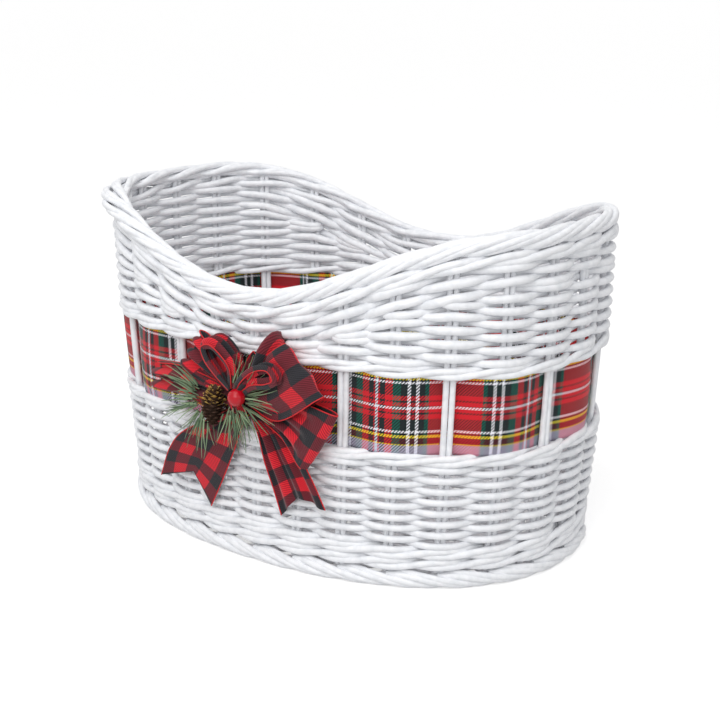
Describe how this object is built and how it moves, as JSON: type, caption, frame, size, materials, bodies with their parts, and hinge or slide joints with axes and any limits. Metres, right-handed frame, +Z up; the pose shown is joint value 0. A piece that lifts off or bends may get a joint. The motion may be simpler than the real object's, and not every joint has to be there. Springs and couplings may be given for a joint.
{
  "type": "woven storage basket",
  "caption": "Oval white willow basket with a dipped rim, tartan ribbon woven through paired stakes and a tied bow with a pine sprig.",
  "frame": {"origin": "on the table, under the middle of the object's own box, bow included", "axes": "+X along the basket's length, -Y out of the side that carries the bow, +Z up"},
  "size_m": [0.399, 0.3022, 0.2525],
  "materials": {
    "white_willow": "white painted peeled willow rods",
    "tartan_ribbon": "woven twill ribbon in a traditional red tartan",
    "check_ribbon": "plain woven red and black check ribbon with wired red edges",
    "green_wire": "green coated florist's wire",
    "pine_needles": "matt moulded needles on a twisted stem",
    "pine_cone": "dry brown cone scales, gold at the stem end",
    "red_berry": "glossy red lacquer"
  },
  "bodies": {
    "root": {"stake_pair_01": "white_willow", "stake_pair_02": "white_willow", "stake_pair_03": "white_willow", "stake_pair_04": "white_willow", "stake_pair_05": "white_willow", "stake_pair_06": "white_willow", "stake_pair_07": "white_willow", "stake_pair_08": "white_willow", "stake_pair_09": "white_willow", "stake_pair_10": "white_willow", "stake_pair_11": "white_willow", "stake_pair_12": "white_willow", "stake_pair_13": "white_willow", "stake_pair_14": "white_willow", "stake_pair_15": "white_willow", "stake_pair_16": "white_willow", "stake_pair_17": "white_willow", "stake_pair_18": "white_willow", "stake_pair_19": "white_willow", "stake_pair_20": "white_willow", "stake_pair_21": "white_willow", "stake_pair_22": "white_willow", "stake_pair_23": "white_willow", "stake_pair_24": "white_willow", "stake_pair_25": "white_willow", "stake_pair_26": "white_willow", "base": "white_willow", "foot_border": "white_willow", "upsett_wale_1": "white_willow", "upsett_wale_2": "white_willow", "lower_weaver_a": "white_willow", "lower_weaver_b": "white_willow", "band_wale_below": "white_willow", "band_wale_above": "white_willow", "upper_weaver_a": "white_willow", "upper_weaver_b": "white_willow", "packing_left": "white_willow", "packing_right": "white_willow", "rim_wale": "white_willow", "rim_border": "white_willow", "bow_loop_left": "check_ribbon", "bow_loop_top_right": "check_ribbon", "bow_loop_lower_right": "check_ribbon", "bow_loop_back_left": "check_ribbon", "bow_loop_right": "check_ribbon", "bow_loop_top_left": "check_ribbon", "bow_loop_small_right": "check_ribbon", "bow_tail_left": "check_ribbon", "bow_tail_right": "check_ribbon", "bow_knot": "check_ribbon", "tartan_ribbon": "tartan_ribbon", "tie_wire": "green_wire", "sprig_left": "pine_needles", "sprig_right": "pine_needles", "pine_cone": "pine_cone", "berry": "red_berry"}
  },
  "joints": []
}
